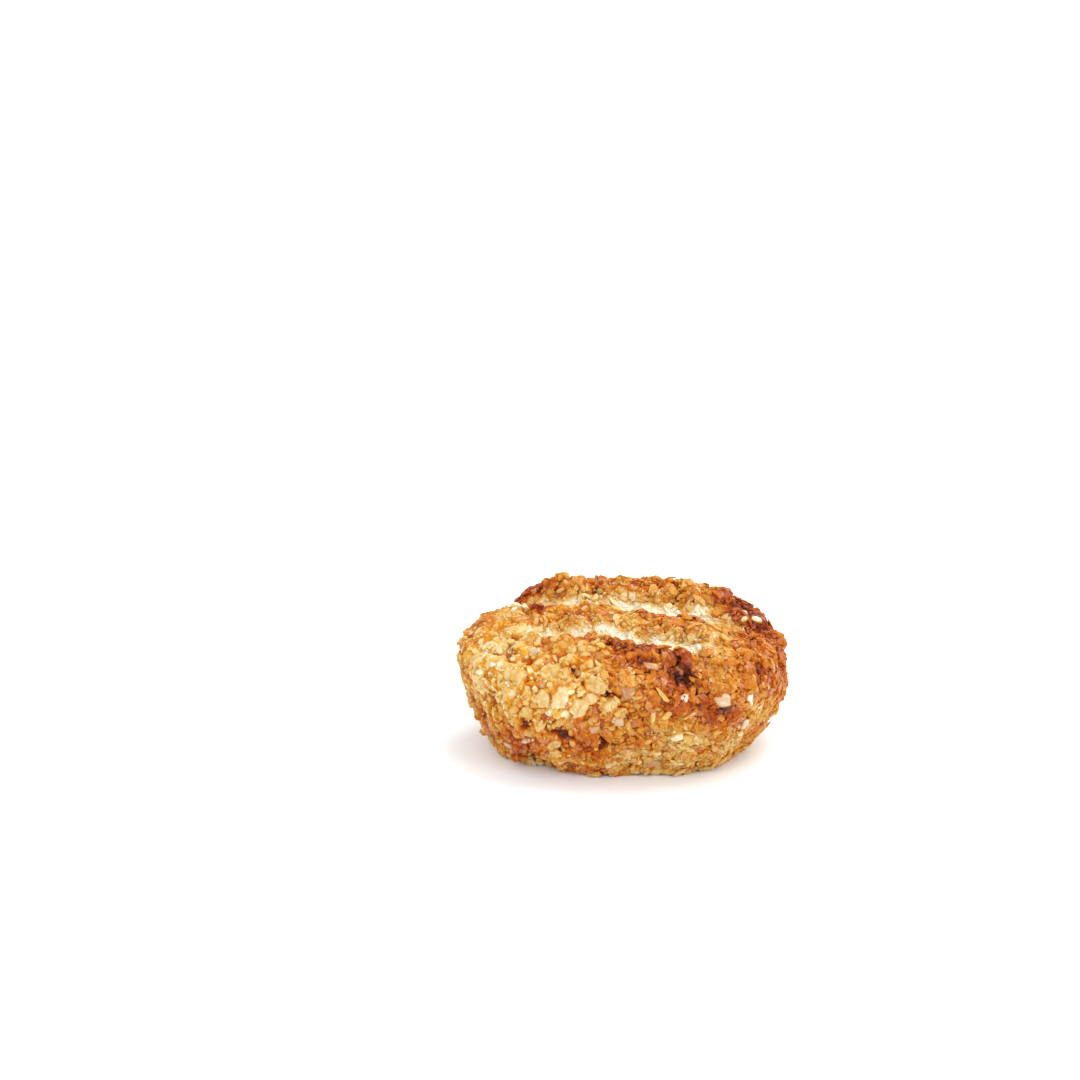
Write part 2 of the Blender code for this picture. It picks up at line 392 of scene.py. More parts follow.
class CoconutSettings(PropertyGroup):
    grains: IntProperty(name="Grains", description="Small broken grains", default=11000, min=1)
    flakes: IntProperty(name="Flakes", description="Flat flakes of coconut", default=2800, min=1)
    shreds: IntProperty(name="Shreds", description="Thin shreds of coconut", default=1500, min=1)
    chunks: IntProperty(name="Chunks", description="Small glassy chunks of coconut flesh", default=60, min=1)
    grain_length: length_setting("Grain length", "Usual size of a grain", 0.56 * MM, 0.1 * MM)
    flake_length: length_setting("Flake length", "Usual length of a flake", 1.3 * MM, 0.3 * MM)
    shred_length: length_setting("Shred length", "Usual length of a shred", 1.6 * MM, 0.5 * MM)
    chunk_length: length_setting("Chunk length", "Usual size of a small chunk", 1.0 * MM, 0.3 * MM)
    seed: IntProperty(name="Seed", description="Changes where each piece lies", default=3, min=0)


class FinishSettings(PropertyGroup):
    raw: colour_setting("Raw", "Coconut that the oven left white", "#eee3cb")
    pale: colour_setting("Pale", "Lightly baked coconut", "#d9bd86")
    straw: colour_setting("Straw", "Straw-coloured crust", "#cba155")
    golden: colour_setting("Golden", "Golden crust", "#c07820")
    copper: colour_setting("Copper", "Well browned crust", "#a74b0c")
    brown: colour_setting("Brown", "Dark crust", "#782a07")
    burnt: colour_setting("Burnt", "Burnt sugar", "#381510")


class StudioSettings(PropertyGroup):
    floor_size: length_setting("Floor size", "Side of the square floor", 6.0, 0.5)
    floor_colour: colour_setting("Floor", "Colour of the floor", "#f8fcff")
    sky_strength: FloatProperty(
        name="Sky strength", description="Light that comes evenly from all round", default=1.04, min=0.0
    )
    camera_distance: length_setting("Camera distance", "From the lens to the macaroon", 0.451, 0.1)
    camera_pitch: FloatProperty(
        name="Camera pitch",
        description="How far the camera looks down",
        default=math.radians(20.1),
        min=0.0,
        max=math.radians(89),
        subtype="ANGLE",
    )


def noise_at(points, size, pattern):
    """Smooth noise from about -1 to 1 at each place, with blobs of this size. Each pattern number differs."""
    shift = Vector((pattern, 2 * pattern, 3 * pattern))
    return np.array([noise.noise(Vector(spot) + shift) for spot in points / size])


def furrows_at(points):
    """How far each place is pressed into a furrow, and how near it is to the top of a furrow's bank.

    The first is 1 on a furrow's floor and 0 where its bank ends. The edges wander by the size of the crumbs.
    """
    wander = sum(far * noise_at(points, size, pattern) for far, size, pattern in FURROW_WANDER)
    along = points[:, 0] * math.cos(FORK_TURN) + points[:, 1] * math.sin(FORK_TURN)
    across = points[:, 1] * math.cos(FORK_TURN) - points[:, 0] * math.sin(FORK_TURN)
    pressed, crest = np.zeros(len(points)), np.zeros(len(points))
    for middle, start, end in FURROWS:
        press = smoothstep(start, start + FURROW_FADE, along) * smoothstep(-end, FURROW_FADE - end, -along)
        aside = abs(across - middle) + wander
        crest = np.maximum(crest, press * np.exp(-(((aside - FURROW_CREST) / CREST_HALF) ** 2)))
        aside = np.where(across < middle, aside / NEAR_BANK, aside)
        pressed = np.maximum(pressed, press * (1 - smoothstep(FURROW_FLOOR, FURROW_BANK, aside)))
    top = smoothstep(*FURROW_TOP, points[:, 2])
    return pressed * top, crest * top


def patches_at(points, patches):
    """The sum of round patches with soft edges, each with its centre, radius and height."""
    spots = points / MM
    total = np.zeros(len(spots))
    for centre, radius, height in patches:
        away = np.linalg.norm(spots - np.array(centre), axis=1)
        total += height * np.exp(-((away / radius) ** 2))
    return total


def blurred(values, edges, passes):
    """Each vertex's value drawn towards the mean of its neighbours', this many times."""
    count = np.bincount(edges.ravel(), minlength=len(values)).astype(float)
    count = count.reshape((-1,) + (1,) * (values.ndim - 1))
    for _ in range(passes):
        total = np.zeros_like(values)
        np.add.at(total, edges[:, 0], values[edges[:, 1]])
        np.add.at(total, edges[:, 1], values[edges[:, 0]])
        values = 0.5 * values + 0.5 * total / count
    return values


def read(items, name, width, kind):
    """A property of all the vertices, edges or triangles of a mesh, as an array with this many columns."""
    found = np.empty(len(items) * width, dtype=kind)
    items.foreach_get(name, found)
    return found.reshape(-1, width)


def store(mesh, name, values):
    """Keeps a share from 0 to 1 for each vertex."""
    shares = np.clip(values, 0, 1).astype(np.float32)
    mesh.attributes.new(name, "FLOAT", "POINT").data.foreach_set("value", shares)


def stored(mesh, name):
    return read(mesh.attributes[name].data, "value", 1, np.float32)[:, 0].astype(float)


def add_piece(mesh, name, material):
    """Puts a finished mesh in the scene as a piece of the macaroon."""
    mesh.name = name
    mesh.materials.append(material)
    piece = bpy.data.objects.new(name, mesh)
    bpy.context.scene.collection.objects.link(piece)
    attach(piece, BODY)
    return piece


def blank_material(name):
    """A material without nodes, and its node tree."""
    material = bpy.data.materials.new(name)
    material.use_nodes = True
    material.node_tree.nodes.clear()
    return material, material.node_tree


def crust_material(name):
    """Baked coconut dough: shredded coconut bound with egg white and sugar, browned from outside in an oven.

    The colour follows how browned each place is, with painted shade in the crumb's crevices and a painted
    amber glow in them. The crumb is dry and matt, and dried egg white and sugar leave a thin clear glaze on
    it in spots, which glints.
    """
    finish = bpy.context.scene.macaroon_finish
    material, tree = blank_material(name)
    place = add_node(tree, "ShaderNodeTexCoord").outputs["Object"]
    toast = add_node(tree, "ShaderNodeAttribute", attribute_name="toast").outputs["Fac"]
    # Blotches of about 0.8 mm, with fibres and grit in them down to 0.1 mm
    mottle = add_node(
        tree,
        "ShaderNodeTexNoise",
        {"Vector": place, "Scale": 1 / (0.8 * MM), "Detail": 4.0, "Roughness": 0.65},
    )
    shift = add_node(
        tree,
        "ShaderNodeMapRange",
        {"Value": mottle.outputs["Fac"], "From Min": 0.3, "From Max": 0.7, "To Min": -0.10, "To Max": 0.10},
        clamp=False,
    )
    browned = add_node(
        tree, "ShaderNodeMath", {0: toast, 1: shift.outputs["Result"]}, operation="ADD", use_clamp=True
    )
    ramp = add_node(tree, "ShaderNodeValToRGB", {"Fac": browned.outputs["Value"]})
    stops = ramp.color_ramp.elements
    stops[0].color = finish.raw
    stops[1].color = finish.burnt
    stops.new(0.16).color = finish.pale
    stops.new(0.33).color = finish.straw
    stops.new(0.50).color = finish.golden
    stops.new(0.68).color = finish.copper
    stops.new(0.85).color = finish.brown
    # Painted light: the crevices are made brighter and more saturated, a bright amber instead of grey, for
    # the light that comes through the syrupy coconut
    deep = add_node(tree, "ShaderNodeAttribute", attribute_name="deep").outputs["Fac"]
    colour = add_node(
        tree,
        "ShaderNodeHueSaturation",
        {"Color": ramp.outputs["Color"], "Fac": deep, "Saturation": 1.1, "Value": 1.15},
    )
    # The glaze lies in spots of about 0.7 mm
    spots = add_node(tree, "ShaderNodeTexNoise", {"Vector": place, "Scale": 1 / (1.4 * MM), "Detail": 2.0})
    glaze = add_node(
        tree,
        "ShaderNodeMapRange",
        {"Value": spots.outputs["Fac"], "From Min": 0.50, "From Max": 0.62, "To Min": 0.0, "To Max": 1.0},
    )
    # Fibres and sugar grit, of 0.5 mm and less
    fine = add_node(
        tree,
        "ShaderNodeTexNoise",
        {"Vector": place, "Scale": 1 / (0.5 * MM), "Detail": 4.0, "Roughness": 0.7},
    )
    bump = add_node(
        tree, "ShaderNodeBump", {"Height": fine.outputs["Fac"], "Strength": 0.9, "Distance": 0.16 * MM}
    )
    shader = add_node(
        tree,
        "ShaderNodeBsdfPrincipled",
        {
            "Base Color": colour.outputs["Color"],
            "Roughness": 0.6,
            "Normal": bump.outputs["Normal"],
            "IOR": 1.45,
            "Specular IOR Level": 0.2,
            "Subsurface Weight": 0.4,
            "Subsurface Radius": (1.0, 0.8, 0.6),
            "Subsurface Scale": 0.3 * MM,
            "Coat Weight": glaze.outputs["Result"],
            "Coat Roughness": 0.14,
        },
    )
    add_node(tree, "ShaderNodeOutputMaterial", {"Surface": shader.outputs["BSDF"]})
    return material


def glassy_material(name):
    """Cut coconut flesh, soaked with syrup and baked: cloudy, and glossy from the sugar that dried on it.

    It is a greyish beige where it stayed pale, and a warm brown where it is browned.
    """
    material, tree = blank_material(name)
    place = add_node(tree, "ShaderNodeTexCoord").outputs["Object"]
    toast = add_node(tree, "ShaderNodeAttribute", attribute_name="toast").outputs["Fac"]
    # Clouds of about 0.9 mm in the flesh
    cloud = add_node(tree, "ShaderNodeTexNoise", {"Vector": place, "Scale": 1 / (0.9 * MM), "Detail": 2.0})
    shift = add_node(
        tree, "ShaderNodeMapRange", {"Value": cloud.outputs["Fac"], "To Min": -0.16, "To Max": 0.16}
    )
    browned = add_node(
        tree, "ShaderNodeMath", {0: toast, 1: shift.outputs["Result"]}, operation="ADD", use_clamp=True
    )
    tone = add_node(tree, "ShaderNodeValToRGB", {"Fac": browned.outputs["Value"]})
    stops = tone.color_ramp.elements
    stops[0].color = linear("#dbd0ba")
    stops[1].color = linear("#9c5c2a")
    stops[1].position = 0.6
    stops.new(0.15).color = linear("#c3a584")
    stops.new(0.35).color = linear("#b98650")
    # Its cut faces are uneven by about 0.1 mm
    fine = add_node(tree, "ShaderNodeTexNoise", {"Vector": place, "Scale": 1 / (0.7 * MM), "Detail": 3.0})
    bump = add_node(
        tree, "ShaderNodeBump", {"Height": fine.outputs["Fac"], "Strength": 0.7, "Distance": 0.2 * MM}
    )
    shader = add_node(
        tree,
        "ShaderNodeBsdfPrincipled",
        {
            "Base Color": tone.outputs["Color"],
            "Normal": bump.outputs["Normal"],
            "Roughness": 0.22,
            "IOR": 1.45,
            "Subsurface Weight": 0.6,
            "Subsurface Radius": (1.0, 0.8, 0.6),
            "Subsurface Scale": 0.4 * MM,
            "Specular IOR Level": 0.4,
            "Coat Weight": 0.8,
            "Coat Roughness": 0.06,
        },
    )
    add_node(tree, "ShaderNodeOutputMaterial", {"Surface": shader.outputs["BSDF"]})
    return material


def paper_material(name, colour):
    """Uncoated white paper, which is matt."""
    material = bpy.data.materials.new(name)
    material.use_nodes = True
    shader = material.node_tree.nodes["Principled BSDF"]
    shader.inputs["Base Color"].default_value = colour
    shader.inputs["Roughness"].default_value = 0.9
    shader.inputs["Specular IOR Level"].default_value = 0.1
    return material


def template(solid, upper):
    """A small shape as arrays: its corners, its triangles, and how far up the shape each corner is.

    That is 0 below the first of the two heights in upper, and 1 above the second.
    """
    bmesh.ops.triangulate(solid, faces=solid.faces[:])
    solid.verts.index_update()
    corners = np.array([vert.co for vert in solid.verts])
    triangles = np.array([[vert.index for vert in face.verts] for face in solid.faces])
    solid.free()
    return corners, triangles, smoothstep(*upper, corners[:, 2])


def flake_shape(rng):
    """A flake, 1 long, wide and tall: a slab with a torn outline, a worn edge and an uneven face."""
    slab = bmesh.new()
    low, high = FLAKE_RADII
    bmesh.ops.create_cone(
        slab, cap_ends=True, segments=FLAKE_SIDES, radius1=low, radius2=high, depth=FLAKE_THICK
    )
    reach = rng.uniform(*FLAKE_TORN, FLAKE_SIDES)
    for vert in slab.verts:
        side = round(math.atan2(vert.co.y, vert.co.x) / (2 * math.pi) * FLAKE_SIDES) % FLAKE_SIDES
        vert.co.x *= reach[side]
        vert.co.y *= reach[side]
        vert.co.z += rng.uniform(-FLAKE_UNEVEN, FLAKE_UNEVEN)
    face = max(slab.faces, key=lambda side: side.calc_center_median().z)
    bmesh.ops.poke(slab, faces=[face], offset=rng.uniform(0.0, FLAKE_CROWN))
    return template(slab, FLAKE_UPPER)


def shred_shape(rng):
    """A shred of coconut, 1 long, wide and tall: a flat strip with tapered ends, bowed and a bit twisted."""
    strip = bmesh.new()
    bmesh.ops.create_cube(strip, size=1)
    lengthwise = [edge for edge in strip.edges if abs(edge.verts[0].co.x - edge.verts[1].co.x) > 0.5]
    bmesh.ops.subdivide_edges(strip, edges=lengthwise, cuts=SHRED_CUTS, use_grid_fill=True)
    bow = rng.uniform(-SHRED_BOW, SHRED_BOW)
    twist = rng.uniform(-SHRED_TWIST, SHRED_TWIST)
    lift = rng.uniform(0.0, SHRED_LIFT)
    for vert in strip.verts:
        along = vert.co.x
        narrow = 1 - SHRED_TAPER * along * along + rng.uniform(-SHRED_RAGGED, SHRED_RAGGED)
        wide, tall = vert.co.y * narrow, vert.co.z * narrow
        turn = twist * along
        bend = along * along - SHRED_BEND
        vert.co.y = wide * math.cos(turn) - tall * math.sin(turn) + bow * bend
        vert.co.z = wide * math.sin(turn) + tall * math.cos(turn) - lift * bend
    return template(strip, SHRED_UPPER)


def grain_shape(rng):
    """A broken grain of coconut, 1 long, wide and tall, and a little narrower above than below."""
    grain = bmesh.new()
    bmesh.ops.create_cube(grain, size=BLOCK)
    for vert in grain.verts:
        vert.co += Vector(rng.uniform(-GRAIN_UNEVEN, GRAIN_UNEVEN, 3))
        vert.co.x *= 1 - GRAIN_NARROWER * (vert.co.z > 0)
        vert.co.y *= 1 - GRAIN_NARROWER * (vert.co.z > 0)
    return template(grain, GRAIN_UPPER)


def chunk_shape(rng):
    """A chunk of coconut flesh, 1 long, wide and tall: a cut block with soft edges."""
    block = bmesh.new()
    bmesh.ops.create_cube(block, size=BLOCK)
    for vert in block.verts:
        vert.co += Vector(rng.uniform(-CHUNK_UNEVEN, CHUNK_UNEVEN, 3))
    bmesh.ops.bevel(
        block, geom=block.edges[:], offset=CHUNK_BEVEL, affect="EDGES", segments=2, profile=0.5, material=-1
    )
    return template(block, CHUNK_UPPER)


class Surface:
    """A mesh's points and triangles, the directions out of it, and what the oven and the fork did to it."""

    def __init__(self, mesh):
        edges = read(mesh.edges, "vertices", 2, np.int32)
        mesh.calc_loop_triangles()
        self.triangles = read(mesh.loop_triangles, "vertices", 3, np.int32)
        self.points = read(mesh.vertices, "co", 3, np.float32).astype(float)
        normals = read(mesh.vertex_normals, "vector", 3, np.float32).astype(float)
        out = blurred(normals, edges, OUTWARD_PASSES)
        self.out = out / np.linalg.norm(out, axis=1)[:, None]
        self.coarse = smoothstep(*COARSER, self.points[:, 0])
        self.furrows, crest = furrows_at(self.points)
        self.browned = bpy.context.scene.macaroon_crumb.bake + patches_at(self.points, PATCHES)
        for much, size, pattern in BLOTCHES:
            self.browned += much * noise_at(self.points, size, pattern)
        self.browned += CREST_BROWNING * crest - FURROW_PALING * self.furrows

    def nearest(self, centre):
        """The vertex nearest to this place in millimetres."""
        return int(((self.points - np.array(centre) * MM) ** 2).sum(axis=1).argmin())

    def upright(self, vertex, turn):
        """A matrix whose columns are the level way along the surface, the way up it, and out.

        The first two are turned by this angle.
        """
        out = Vector(self.out[vertex])
        level = Vector((-out.y, out.x, 0))
        level = level.normalized() if level.length > STRAIGHT_UP else Vector((1, 0, 0))
        return Matrix((level, out.cross(level), out)).transposed() @ Matrix.Rotation(turn, 3, "Z")

    def spread(self, rng, count, apart, chance):
        """Vertices spread evenly over it, no two nearer than apart.

        chance is how likely each vertex is to be taken where it is drawn.
        """
        corners = self.points[self.triangles]
        sides = corners[:, 1:] - corners[:, :1]
        area = np.linalg.norm(np.cross(sides[:, 0], sides[:, 1]), axis=1)
        drawn = self.triangles[rng.choice(len(area), size=count * DRAWS, p=area / area.sum()), 0]
        drawn = drawn[rng.random(len(drawn)) < chance[drawn]]
        cells = np.floor(self.points[drawn] / apart).astype(int)
        taken = {}
        chosen = []
        for vertex, (x, y, z) in zip(drawn, cells):
            near = [
                other
                for i in (x - 1, x, x + 1)
                for j in (y - 1, y, y + 1)
                for k in (z - 1, z, z + 1)
                for other in taken.get((i, j, k), ())
            ]
            if near and ((self.points[near] - self.points[vertex]) ** 2).sum(axis=1).min() < apart * apart:
                continue
            taken.setdefault((x, y, z), []).append(vertex)
            chosen.append(vertex)
            if len(chosen) == count:
                break
        return chosen


# A bit of coconut in the surface: the vertex that it lies at, its length, width and height, the share of its
# height that is below the surface, its turn round the way out (0 is level), its leans about its length and
# its width, and how browned its face is
Bit = collections.namedtuple("Bit", "vertex size sunk turn leans toast")


def scattered(rng, surface, face, kind, count, length, chance):
    """Bits of one kind that lie by chance, where face is how browned the coconut is at each vertex."""
    bits = []
    for vertex in surface.spread(rng, count, kind.apart, chance):
        long = length * rng.uniform(*LENGTHS) * mix(LEFT_LENGTH, 1, surface.coarse[vertex])
        size = (long, long * rng.uniform(*kind.wide), length * rng.uniform(*kind.tall))
        turn = rng.uniform(0, 2 * math.pi)
        leans = rng.normal(0, kind.lean, 2)
        bits.append(Bit(vertex, size, kind.sunk, turn, leans, face[vertex] + rng.normal(0, kind.vary)))
    return bits


def chosen_bits(surface, rows, sunk, height=None):
    """Bits that each have their place. Those without a height are as tall as they are wide."""
    bits = []
    for centre, (length, width), turn, toast in rows:
        size = (length * MM, width * MM, height or width * MM)
        bits.append(Bit(surface.nearest(centre), size, sunk, math.radians(turn), (0.0, 0.0), toast))
    return bits


def lay(rng, shapes, surface, crumb_toast_and_shade, bits):
    """All the bits as one mesh. Low down, each is as brown as the crumb that holds it, whose crevices carry
    painted shade, so each bit darkens towards the crumb; there it also gets the crevices' painted amber glow.
    """
    corners, triangles, toast, deep = [], [], [], []
    filled = 0
    for bit in bits:
        shape, faces, upper = shapes[rng.integers(len(shapes))]
        turned = surface.upright(bit.vertex, bit.turn)
        turned = turned @ Matrix.Rotation(bit.leans[0], 3, "X") @ Matrix.Rotation(bit.leans[1], 3, "Y")
        laid = (shape * bit.size) @ np.array(turned).T + surface.points[bit.vertex]
        laid += surface.out[bit.vertex] * bit.size[2] * (0.5 - bit.sunk)
        laid[:, 2] += max(0.0, -laid[:, 2].min())
        corners.append(laid)
        triangles.append(faces + filled)
        # Low down a bit takes the crumb's toast, painted crevice shade included, and the crevices' painted
        # amber glow, which it does not get on a furrow's floor
        toast.append(mix(crumb_toast_and_shade[bit.vertex], bit.toast, upper))
        deep.append((1 - upper) * (1 - surface.furrows[bit.vertex]))
        filled += len(shape)
    mesh = bpy.data.meshes.new("joined")
    mesh.from_pydata(np.concatenate(corners), [], np.concatenate(triangles))
    store(mesh, "toast", np.concatenate(toast))
    store(mesh, "deep", np.concatenate(deep))
    return mesh


def cells_at(points, size, bend, pattern):
    """A surface broken into cells, each a facet tilted its own way, as numbers for every place.

    Gives the facet's height as a share, how far in from the cell's seam the place is (0 to 1), and a number
    from -1 to 1 that each cell has to itself.
    """
    shift = Vector((pattern, 2 * pattern, 3 * pattern))
    found = []
    for spot in points / size:
        spot = Vector(spot) + shift
        spot += bend * noise.noise_vector(spot * CELL_BENDS)
        distances, centres = noise.voronoi(spot)
        own = noise.cell_vector(centres[0] * CELL_KEY)
        tilted = (own - Vector((0.5, 0.5, 0.5))).dot(spot - centres[0])
        facet = CELL_TILT * tilted + CELL_STEP * (own.x - 0.5)
        found.append((facet, distances[1] - distances[0], 2 * own.z - 1))
    facet, inside, own = np.array(found).T
    return facet, smoothstep(0.0, CELL_SEAM, inside), own


def large_nuggets(surface):
    """For every vertex: how far it is inside a large nugget, the nugget's browning and rise, and its rim."""
    count = len(surface.points)
    inside, own, rise, rim = np.zeros(count), np.zeros(count), np.zeros(count), np.zeros(count)
    for centre, (length, width), turn, toast in LARGE_NUGGETS:
        middle = surface.nearest(centre)
        axes = np.array(surface.upright(middle, math.radians(turn)))
        offset = surface.points - surface.points[middle]
        near = np.flatnonzero(np.linalg.norm(offset, axis=1) < length * MM)
        offset = offset[near] @ axes / MM
        away = np.hypot(offset[:, 0] / (length / 2), offset[:, 1] / (width / 2))
        away += NUGGET_TORN * noise_at(surface.points[near], *NUGGET_TEARS)
        within = 1 - smoothstep(*NUGGET_EDGE, away)
        taken = within > inside[near]
        inside[near[taken]] = within[taken]
        own[near[taken]] = toast
        rise[near[taken]] = (within * (1 - NUGGET_DOME * away * away))[taken]
        groove = np.exp(-(((away - RIM_MIDDLE) / RIM_HALF) ** 2)) * (1 - inside[near])
        rim[near] = np.maximum(rim[near] * (1 - within), groove)
    return inside, own, rise, rim


def fine_copy():
    """The solid's surface as a mesh of its own, merged from loose triangles, cut finer and evened out."""
    crumb = bmesh.new()
    crumb.from_mesh(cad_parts[NODE].data)
    bmesh.ops.remove_doubles(crumb, verts=crumb.verts, dist=MERGE)
    for _ in range(FINER_PASSES):
        bmesh.ops.subdivide_edges(crumb, edges=crumb.edges[:], cuts=1, use_grid_fill=True)
        bmesh.ops.smooth_vert(
            crumb, verts=crumb.verts[:], factor=0.5, use_axis_x=True, use_axis_y=True, use_axis_z=True
        )
    mesh = bpy.data.meshes.new(CRUMB)
    crumb.to_mesh(mesh)
    crumb.free()
    return mesh


def crumb_mesh(settings):
    """The solid's surface broken into nuggets and flakes, which are browned by place and each in its way,
    with painted shade as well as browning in the crevices between them and painted shade in its pits.
    """
    noise.seed_set(settings.seed)
    mesh = fine_copy()
    surface = Surface(mesh)
    points = surface.points
    nugget, nugget_in, nugget_own = cells_at(points, settings.nugget_size, NUGGET_BEND, NUGGET_PATTERN)
    flake, flake_in, flake_own = cells_at(points, settings.flake_size, FLAKE_BEND, FLAKE_PATTERN)
    slit = smoothstep(SLIT_FROM, SLIT_TO, noise_at(points, SLIT_SPACING, SLIT_PATTERN)) * (1 - nugget_in) ** 2
    pit = patches_at(points, PITS)
    inside, nugget_toast, rise, rim = large_nuggets(surface)
    smooth = np.maximum(inside, surface.furrows)

    height = settings.nugget_height * (nugget * nugget_in + NUGGET_STAND * nugget_in - NUGGET_MEAN)
    height -= settings.slit_depth * slit
    height *= 1 - NUGGET_SMOOTHS * inside
    height += settings.flake_height * (flake * flake_in + FLAKE_STAND * flake_in - FLAKE_MEAN)
    height *= 1 - FURROW_SMOOTHS * surface.furrows
    height += (NUGGET_RISE * rise - NUGGET_RIM * rim - pit) * MM
    height -= settings.furrow_depth * surface.furrows + settings.inset
    height *= smoothstep(*FOOT_FADE, points[:, 2])
    points += surface.out * height[:, None]
    points[:, 2] = np.maximum(points[:, 2], 0.0)
    mesh.vertices.foreach_set("co", points.ravel())
    mesh.update()
    mesh.shade_smooth()

    face = mix(surface.browned + NUGGET_VARIES * nugget_own, nugget_toast, inside)
    toast = face + FLAKE_VARIES * flake_own
    # Painted shade, with some browning of the syrup there, in the gaps between nuggets and between flakes, in
    # the slits and in the grooves round the large nuggets; and painted shade in the pits
    toast += (NUGGET_GAP_SHADE_AND_BROWNING * (1 - nugget_in) + SLIT_SHADE_AND_BROWNING * slit) * (1 - inside)
    between = settings.crevice_shade_and_browning + FLAKE_GAP_SHADE_AND_BROWNING * (1 - flake_in)
    toast += between * (1 - FURROW_SMOOTHS * smooth)
    toast += RIM_SHADE_AND_BROWNING * rim + PIT_PAINTED_SHADE * pit
    store(mesh, "face", face)  # how browned the coconut is that lies here
    # The crumb's toast holds that painted shade as well as its browning
    store(mesh, "toast", toast)  # how browned the crumb itself is
    store(mesh, "bare", np.maximum(inside, rim) + PIT_BARE * pit)  # how free of coconut it is
    # It sets how much of the painted amber glow the crumb gets in its crevices
    store(mesh, "deep", (1 - np.minimum(nugget_in, flake_in)) * (1 - smooth))  # how far it is in a crevice
    return mesh


class MACAROON_OT_crumb(Operator):
    """Binds coconut and dough into the crumb, which stands for the macaroon's solid"""

    bl_idname = "macaroon.crumb"
    bl_label = "Crumb"

    def execute(self, context):
        mesh = crumb_mesh(context.scene.macaroon_crumb)
        piece = add_piece(mesh, CRUMB, crust_material("baked_coconut_dough"))
        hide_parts(NODE)
        return {"FINISHED"}


class MACAROON_OT_coconut(Operator):
    """Beds the grains, the flakes, the shreds and the glassy chunks of coconut in the crumb"""

    bl_idname = "macaroon.coconut"
    bl_label = "Coconut"

    def execute(self, context):
        settings = context.scene.macaroon_coconut
        rng = np.random.default_rng(settings.seed)
        crumb = bpy.data.objects[CRUMB].data
        surface = Surface(crumb)
        face, crumb_toast_and_shade, bare = (stored(crumb, name) for name in ("face", "toast", "bare"))
        clear = self.clear_of_large(surface)
        for_grains = clear * mix(1, GRAINS_ON_BARE, bare) * mix(1, GRAINS_IN_FURROW, surface.furrows)
        in_crumb = clear * (1 - bare) * (1 - smoothstep(*IN_FURROW, surface.furrows))

        def bits(kind, count, length, coarse, chance):
            return scattered(rng, surface, face, kind, count, length, chance * mix(kind.left, 1, coarse))

        grain_rich = np.maximum(surface.coarse, surface.furrows)
        grains = bits(GRAIN, settings.grains, settings.grain_length, grain_rich, for_grains)
        flakes = bits(FLAKE, settings.flakes, settings.flake_length, surface.coarse, in_crumb)
        shreds = bits(SHRED, settings.shreds, settings.shred_length, surface.coarse, in_crumb)
        chunks = bits(CHUNK, settings.chunks, settings.chunk_length, surface.coarse, in_crumb)
        flakes += chosen_bits(surface, LARGE_FLAKES, LARGE_FLAKE_SUNK, LARGE_FLAKE_HEIGHT)
        chunks += chosen_bits(surface, LARGE_CHUNKS, LARGE_CHUNK_SUNK)
        crust = crust_material("toasted_coconut")
        glassy = glassy_material("syrup_soaked_coconut")
        for name, shape, found, worn, material in (
            ("coconut_grains", grain_shape, grains, True, crust),
            ("coconut_flakes", flake_shape, flakes, False, crust),
            ("coconut_shreds", shred_shape, shreds, False, crust),
            ("glassy_chunks", chunk_shape, chunks, True, glassy),
        ):
            mesh = lay(rng, [shape(rng) for _ in range(SHAPES)], surface, crumb_toast_and_shade, found)
            if worn:
                mesh.shade_smooth()
            add_piece(mesh, name, material)
        return {"FINISHED"}

    def clear_of_large(self, surface):
        """Which vertices are neither under the macaroon nor at a large flake or chunk."""
        clear = (surface.out[:, 2] > UNDERSIDE) & (surface.points[:, 2] > CLEAR * MM)
        for centre, (_, width), *_ in LARGE_FLAKES + LARGE_CHUNKS:
            clear &= np.linalg.norm(surface.points / MM - np.array(centre), axis=1) > 0.5 * width + CLEAR
        return clear


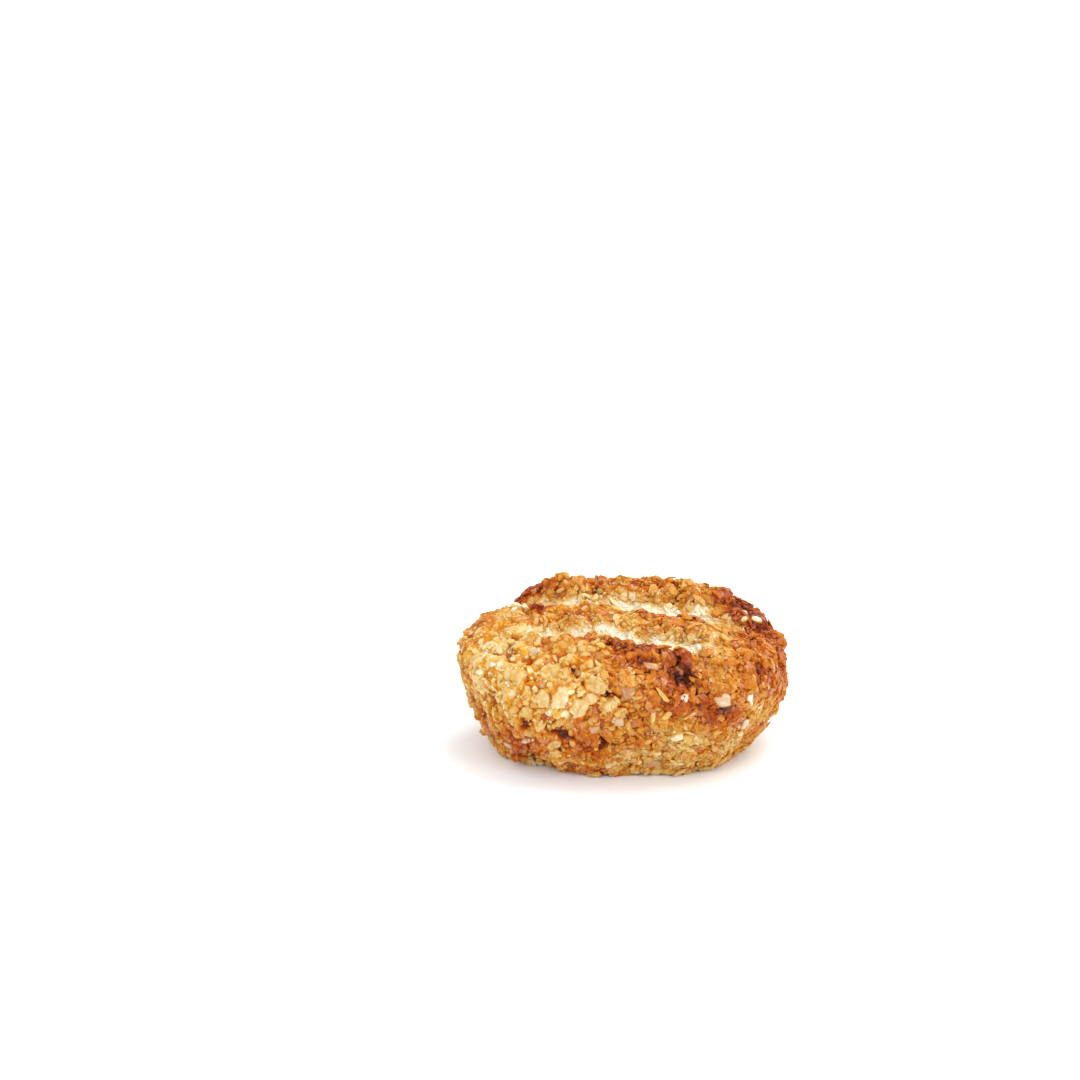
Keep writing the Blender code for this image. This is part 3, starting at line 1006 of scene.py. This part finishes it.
class MACAROON_OT_studio(Operator):
    """Lays the pale floor, and sets the soft lights and the camera"""

    bl_idname = "macaroon.studio"
    bl_label = "Studio"

    def execute(self, context):
        settings = context.scene.macaroon_studio
        low, high = (Vector(corner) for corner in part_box(NODE))
        middle = (low + high) / 2
        self.lay_floor(settings)
        self.hang_lights(settings, middle)
        self.set_camera(settings, middle)
        context.scene.view_settings.view_transform = "Standard"
        return {"FINISHED"}

    def lay_floor(self, settings):
        """A sheet of pale paper."""
        sheet = bmesh.new()
        bmesh.ops.create_grid(sheet, x_segments=1, y_segments=1, size=settings.floor_size / 2)
        mesh = bpy.data.meshes.new("floor")
        sheet.to_mesh(mesh)
        sheet.free()
        mesh.materials.append(paper_material("matt_paper", settings.floor_colour))
        floor = bpy.data.objects.new("floor", mesh)
        bpy.context.scene.collection.objects.link(floor)

    def hang_lights(self, settings, middle):
        """An even white sky, and softboxes that give the crumb its form and its glints."""
        world = bpy.data.worlds.new("sky")
        world.use_nodes = True
        sky = world.node_tree.nodes["Background"]
        sky.inputs["Color"].default_value = (1, 1, 1, 1)
        sky.inputs["Strength"].default_value = settings.sky_strength
        bpy.context.scene.world = world
        for name, place, size, power in SOFTBOXES:
            lamp = bpy.data.lights.new(name, "AREA")
            lamp.shape = "DISK"
            lamp.size = size
            lamp.energy = power
            softbox = bpy.data.objects.new(name, lamp)
            softbox.location = place
            softbox.rotation_euler = (Vector(place) - middle).to_track_quat("Z", "Y").to_euler()
            bpy.context.scene.collection.objects.link(softbox)

    def set_camera(self, settings, middle):
        """Looks along +Y and down, level, with the macaroon off to the lower right as in the photograph."""
        pitch = settings.camera_pitch
        ahead = Vector((0, math.cos(pitch), -math.sin(pitch)))
        right = Vector((1, 0, 0))
        up = right.cross(ahead)
        aside, below = ((pixel - PHOTO_SIDE / 2) / LENS_PIXELS for pixel in MACAROON_PIXEL)
        lens = bpy.data.cameras.new("camera")
        lens.sensor_width = SENSOR / MM
        lens.lens = LENS_PIXELS / PHOTO_SIDE * lens.sensor_width
        lens.clip_start, lens.clip_end = 0.01, 20
        camera = bpy.data.objects.new("camera", lens)
        camera.location = middle + (up * below - right * aside - ahead) * settings.camera_distance
        camera.rotation_euler = (math.pi / 2 - pitch, 0, 0)
        bpy.context.scene.collection.objects.link(camera)
        bpy.context.scene.camera = camera


class MACAROON_PT_sidebar(Panel):
    """Lists the steps that build the macaroon, and the settings of each"""

    bl_label = "Coconut Macaroon"
    bl_idname = "MACAROON_PT_sidebar"
    bl_space_type = "VIEW_3D"
    bl_region_type = "UI"
    bl_category = "Macaroon"

    def draw(self, context):
        for step, groups in STEPS:
            box = self.layout.box()
            box.operator(step.bl_idname)
            for group in groups:
                settings = getattr(context.scene, group)
                for name in settings.bl_rna.properties.keys():
                    if name not in ("rna_type", "name"):
                        box.prop(settings, name)


STEPS = (
    (MACAROON_OT_studio, ("macaroon_studio",)),
    (MACAROON_OT_crumb, ("macaroon_crumb", "macaroon_finish")),
    (MACAROON_OT_coconut, ("macaroon_coconut",)),
)
SETTINGS = {
    "macaroon_crumb": CrumbSettings,
    "macaroon_coconut": CoconutSettings,
    "macaroon_finish": FinishSettings,
    "macaroon_studio": StudioSettings,
}


def register():
    for name, group in SETTINGS.items():
        bpy.utils.register_class(group)
        setattr(bpy.types.Scene, name, PointerProperty(type=group))
    for step, _ in STEPS:
        bpy.utils.register_class(step)
    bpy.utils.register_class(MACAROON_PT_sidebar)


def unregister():
    bpy.utils.unregister_class(MACAROON_PT_sidebar)
    for step, _ in reversed(STEPS):
        bpy.utils.unregister_class(step)
    for name, group in reversed(SETTINGS.items()):
        delattr(bpy.types.Scene, name)
        bpy.utils.unregister_class(group)


def main():
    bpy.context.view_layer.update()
    register()
    bpy.ops.macaroon.studio()
    bpy.ops.macaroon.crumb()
    bpy.ops.macaroon.coconut()


if __name__ == "__main__":
    main()
